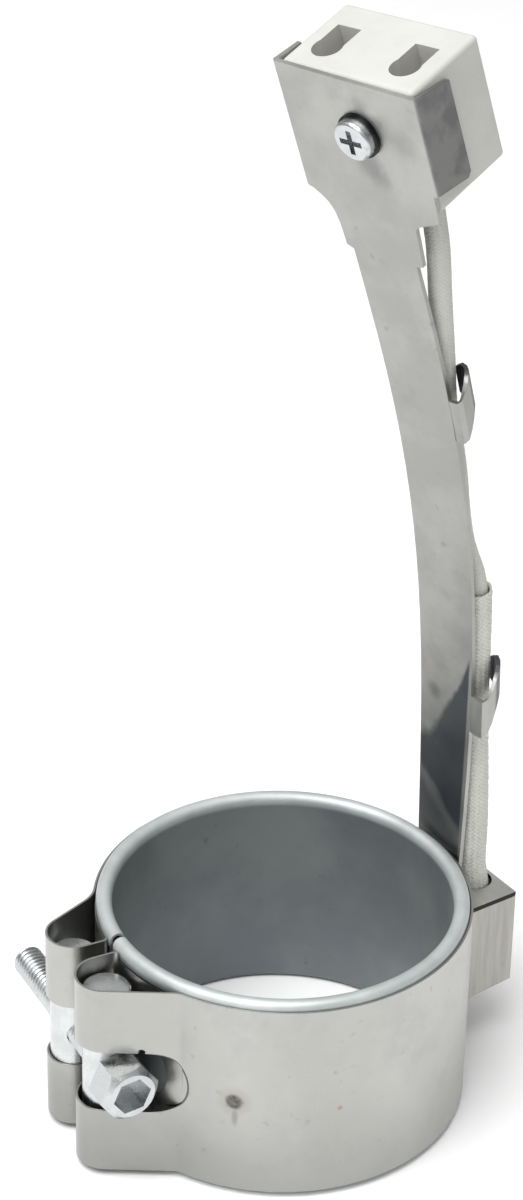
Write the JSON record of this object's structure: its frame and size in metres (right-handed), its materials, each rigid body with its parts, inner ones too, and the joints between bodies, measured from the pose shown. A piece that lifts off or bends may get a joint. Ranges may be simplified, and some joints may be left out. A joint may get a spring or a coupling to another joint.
{
  "type": "band heater",
  "caption": "Split mica band heater with a looped clamp strap and barrel nuts, a terminal box, and a curved sheet-metal arm carrying a ceramic plug connector.",
  "frame": {"origin": "on the axis of the band's bore, at the middle of the band's width", "axes": "+Z along the bore axis towards the ceramic connector, the clamp and its joint at -X, the terminal box near +X"},
  "size_m": [0.09, 0.069, 0.2082],
  "materials": {
    "strap_steel": "polished thin strip, light stains",
    "hem_steel": "dull galvanised sheet, lighter on the hem",
    "mica": "layered mica sheet",
    "resistance_alloy": "dark flat ribbon",
    "zinc": "bright zinc plate",
    "arm_steel": "satin strip with heat stains",
    "box_steel": "satin folded sheet",
    "glass_sleeve": "woven glass-fibre sleeve",
    "nickel_wire": "plated wire",
    "ceramic": "unglazed steatite",
    "contact_brass": "formed brass strip",
    "washer_steel": "blackened spring washer"
  },
  "bodies": {
    "heater": {"arm_bracket": "arm_steel", "barrel_nut_head_side": "zinc", "barrel_nut_threaded": "zinc", "block_nut": "zinc", "block_screw": "zinc", "block_washer": "washer_steel", "ceramic_block": "ceramic", "clamp_strap": "strap_steel", "contact_a": "contact_brass", "contact_b": "contact_brass", "contact_screw_a": "contact_brass", "contact_screw_b": "contact_brass", "feed_bead_a": "ceramic", "feed_bead_b": "ceramic", "feed_pin_a": "nickel_wire", "feed_pin_b": "nickel_wire", "inner_sheath": "hem_steel", "lead_a": "nickel_wire", "lead_b": "nickel_wire", "lower_outer_sleeve": "glass_sleeve", "mica_core": "mica", "mica_inner": "mica", "mica_outer": "mica", "outer_sheath": "hem_steel", "resistance_ribbon": "resistance_alloy", "terminal_box_body": "box_steel", "terminal_box_lid": "box_steel", "upper_sleeve": "glass_sleeve"},
    "screw": {"clamp_screw": "zinc"}
  },
  "joints": [
    {"name": "clamp_screw_turn", "type": "hinge", "parent": "heater", "child": "screw", "pos_m": [-0.03845, 0, 0], "axis": [-0.0279, 0.9996, 0], "continuous": true}
  ]
}
